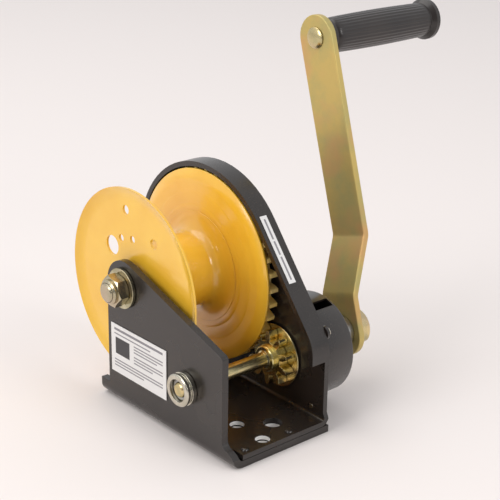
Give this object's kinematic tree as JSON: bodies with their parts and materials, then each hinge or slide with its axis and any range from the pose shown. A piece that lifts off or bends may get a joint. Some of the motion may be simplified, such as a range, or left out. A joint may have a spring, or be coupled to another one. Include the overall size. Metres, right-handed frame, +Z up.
{
  "type": "boat trailer winch",
  "caption": "Hand-cranked winch with an open cable drum, spur gearing, a covered friction brake and a long cranked handle, on a flat two-plate frame.",
  "frame": {"origin": "centre of the base's bottom face, on the lower base sheet", "axes": "+Z up from the base, +X along the drum axis toward the crank, +Y to the rear, on the drum's side of the input shaft"},
  "size_m": [0.2807, 0.1814, 0.2442],
  "materials": {
    "black_paint": "gloss",
    "yellow_paint": "gloss",
    "yellow_zinc": "satin",
    "silver_zinc": "satin",
    "plain_steel": "satin",
    "bush_metal": "satin",
    "brake_lining": "matte",
    "black_grip": "satin",
    "label_white": "satin"
  },
  "bodies": {
    "frame": {"side_frame": "black_paint", "gear_frame": "black_paint", "base_rivet_1": "black_paint", "base_rivet_2": "black_paint", "base_rivet_3": "black_paint", "base_rivet_4": "black_paint", "side_label": "label_white", "guard_label": "label_white", "axle_bolt": "yellow_zinc", "axle_nut": "yellow_zinc", "axle_washer_left": "yellow_zinc", "axle_washer_right": "yellow_zinc", "axle_sleeve": "plain_steel", "shaft_bush_left": "silver_zinc", "shaft_bush_right": "bush_metal", "pawl_pin": "plain_steel", "brake_cover": "black_paint", "cover_screw_1": "silver_zinc", "cover_screw_2": "silver_zinc", "cover_screw_3": "silver_zinc"},
    "drum": {"drum_flange_left": "yellow_paint", "drum_flange_right": "yellow_paint", "drum_core": "yellow_paint", "ring_gear": "yellow_paint", "gear_rivet_1": "yellow_paint", "gear_rivet_2": "yellow_paint", "gear_rivet_3": "yellow_paint", "gear_rivet_4": "yellow_paint", "gear_rivet_5": "yellow_paint", "gear_rivet_6": "yellow_paint", "drum_bush_left": "bush_metal", "drum_bush_right": "bush_metal"},
    "shaft": {"input_shaft": "yellow_zinc", "pinion": "yellow_zinc", "pinion_disc": "yellow_zinc", "retaining_ring": "plain_steel", "brake_disc": "plain_steel", "brake_lining_inner": "brake_lining", "brake_lining_outer": "brake_lining", "ratchet_wheel": "plain_steel"},
    "crank": {"crank_hub": "plain_steel", "crank_arm": "yellow_zinc", "crank_nut": "yellow_zinc", "grip_pin": "yellow_zinc"},
    "grip": {"grip": "black_grip"},
    "pawl": {"pawl": "plain_steel", "pawl_spring": "silver_zinc"}
  },
  "joints": [
    {"name": "drum_spin", "type": "hinge", "parent": "frame", "child": "drum", "pos_m": [0, 0.0417, 0.085], "axis": [1, 0, 0], "continuous": true},
    {"name": "shaft_spin", "type": "hinge", "parent": "frame", "child": "shaft", "pos_m": [0, -0.023, 0.03902], "axis": [1, 0, 0], "continuous": true},
    {"name": "brake_release", "type": "hinge", "parent": "shaft", "child": "crank", "pos_m": [0.0965, -0.023, 0.03902], "axis": [1, 0, 0], "range_deg": [-20, 0]},
    {"name": "grip_spin", "type": "hinge", "parent": "crank", "child": "grip", "pos_m": [0.121, 0.03357, 0.22877], "axis": [1, 0, 0], "continuous": true},
    {"name": "pawl_tilt", "type": "hinge", "parent": "frame", "child": "pawl", "pos_m": [0.052, -0.01614, 0.06462], "axis": [1, 0, 0], "range_deg": [-6, 17], "stiffness_Nm_per_rad": 0.05, "springref_deg": 22.92}
  ],
  "couplings": [
    {"joint": "shaft_spin", "follows": "drum_spin", "ratio": -4}
  ]
}
